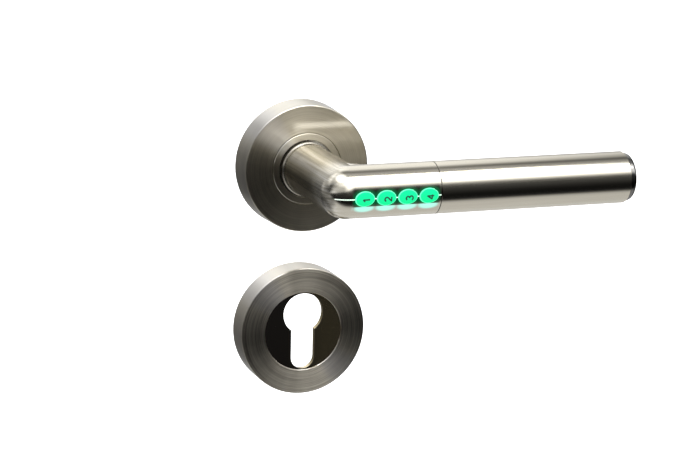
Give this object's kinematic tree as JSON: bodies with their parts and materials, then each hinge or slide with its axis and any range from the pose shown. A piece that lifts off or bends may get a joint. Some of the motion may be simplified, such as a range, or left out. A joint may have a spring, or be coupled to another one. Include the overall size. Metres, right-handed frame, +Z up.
{
  "type": "keypad smart lock",
  "caption": "Door lever handle on a round rose with lit code keys in its grip, and a separate round cover plate for the door's lock cylinder.",
  "frame": {"origin": "on the spindle's axis, in the plane of the door's face, midway between the lever rose's two fixing studs", "axes": "+X towards the lever's free end, +Y into the door along the spindle, +Z up"},
  "size_m": [0.1559, 0.117, 0.128],
  "materials": {
    "satin_steel": "satin brushed along the part",
    "turned_steel": "fine circular brushing",
    "dark_chrome": "dark mirror polish",
    "mirror_chrome": "mirror polish",
    "zinc_casting": "zinc die casting, matt",
    "bright_steel": "plain bright steel",
    "spring_steel": "drawn spring wire",
    "bush_plastic": "acetal",
    "black_plastic": "moulded",
    "key_plastic": "translucent, lit green from behind",
    "light_plastic": "clear light pipe",
    "board": "printed circuit board",
    "led": "green light-emitting diode",
    "brass": "turned",
    "cell_wrap": "shrink wrap",
    "wire_red": "insulation",
    "rubber": "moulded"
  },
  "bodies": {
    "door_fittings": {"lever_mounting_plate": "zinc_casting", "lever_rose_cover": "turned_steel", "collar_ring": "turned_steel", "neck_bush": "bush_plastic", "return_spring": "spring_steel", "lever_fixing_studs": "bright_steel", "cylinder_mounting_plate": "zinc_casting", "cylinder_rose_cover": "turned_steel", "cylinder_insert": "dark_chrome", "cylinder_fixing_studs": "bright_steel"},
    "lever": {"neck_core": "zinc_casting", "neck_ferrule": "satin_steel", "spring_driver": "bright_steel", "circlip": "spring_steel", "upper_shell": "satin_steel", "lower_shell": "satin_steel", "light_guide": "light_plastic", "grip_sleeve": "satin_steel", "keypad_board": "board", "key_domes": "bright_steel", "key_leds": "led", "controller_chips": "black_plastic", "board_chassis": "black_plastic", "contact_block": "black_plastic", "contact_spring": "bright_steel", "clutch_motor": "bright_steel", "motor_bracket": "black_plastic", "motor_wires": "wire_red", "battery_wires": "wire_red", "grub_screw": "spring_steel", "shell_screw": "spring_steel"},
    "spindle": {"spindle_bar": "bright_steel", "clutch_hub": "brass", "hub_pin": "bright_steel"},
    "clutch_slider": {"clutch_carriage": "brass", "clutch_pin": "bright_steel"},
    "clutch_screw": {"clutch_screw": "bright_steel"},
    "key_1": {"key_1": "key_plastic"},
    "key_2": {"key_2": "key_plastic"},
    "key_3": {"key_3": "key_plastic"},
    "key_4": {"key_4": "key_plastic"},
    "battery_cartridge": {"battery_tray": "black_plastic", "battery_1": "cell_wrap", "battery_2": "cell_wrap", "cap_spring": "bright_steel", "contact_strip": "brass", "end_cap": "mirror_chrome", "cap_o_ring": "rubber"}
  },
  "joints": [
    {"name": "lever_turn", "type": "hinge", "parent": "door_fittings", "child": "lever", "pos_m": [0, 0, 0], "axis": [0, 1, 0], "range_deg": [0, 45], "stiffness_Nm_per_rad": 0.6, "springref_deg": -68.75, "deforming": ["return_spring"]},
    {"name": "spindle_turn", "type": "hinge", "parent": "door_fittings", "child": "spindle", "pos_m": [0, 0, 0], "axis": [0, 1, 0], "range_deg": [0, 45]},
    {"name": "clutch_screw_turn", "type": "hinge", "parent": "lever", "child": "clutch_screw", "pos_m": [0, -0.03, 0], "axis": [0, 1, 0], "range_deg": [0, 180.1]},
    {"name": "clutch_slide", "type": "slide", "parent": "lever", "child": "clutch_slider", "axis": [0, 1, 0], "range_m": [0, 0.003]},
    {"name": "key_1_press", "type": "slide", "parent": "lever", "child": "key_1", "axis": [0, 1, 0], "range_m": [0, 0.0007], "stiffness_N_per_m": 800, "springref_m": -0.0005},
    {"name": "key_2_press", "type": "slide", "parent": "lever", "child": "key_2", "axis": [0, 1, 0], "range_m": [0, 0.0007], "stiffness_N_per_m": 800, "springref_m": -0.0005},
    {"name": "key_3_press", "type": "slide", "parent": "lever", "child": "key_3", "axis": [0, 1, 0], "range_m": [0, 0.0007], "stiffness_N_per_m": 800, "springref_m": -0.0005},
    {"name": "key_4_press", "type": "slide", "parent": "lever", "child": "key_4", "axis": [0, 1, 0], "range_m": [0, 0.0007], "stiffness_N_per_m": 800, "springref_m": -0.0005},
    {"name": "cartridge_pull", "type": "slide", "parent": "lever", "child": "battery_cartridge", "axis": [1, 0, 0], "range_m": [0, 0.09]}
  ],
  "couplings": [
    {"joint": "spindle_turn", "follows": "lever_turn", "ratio": 1},
    {"joint": "clutch_screw_turn", "follows": "clutch_slide", "rad_per_m": 1047.2}
  ]
}
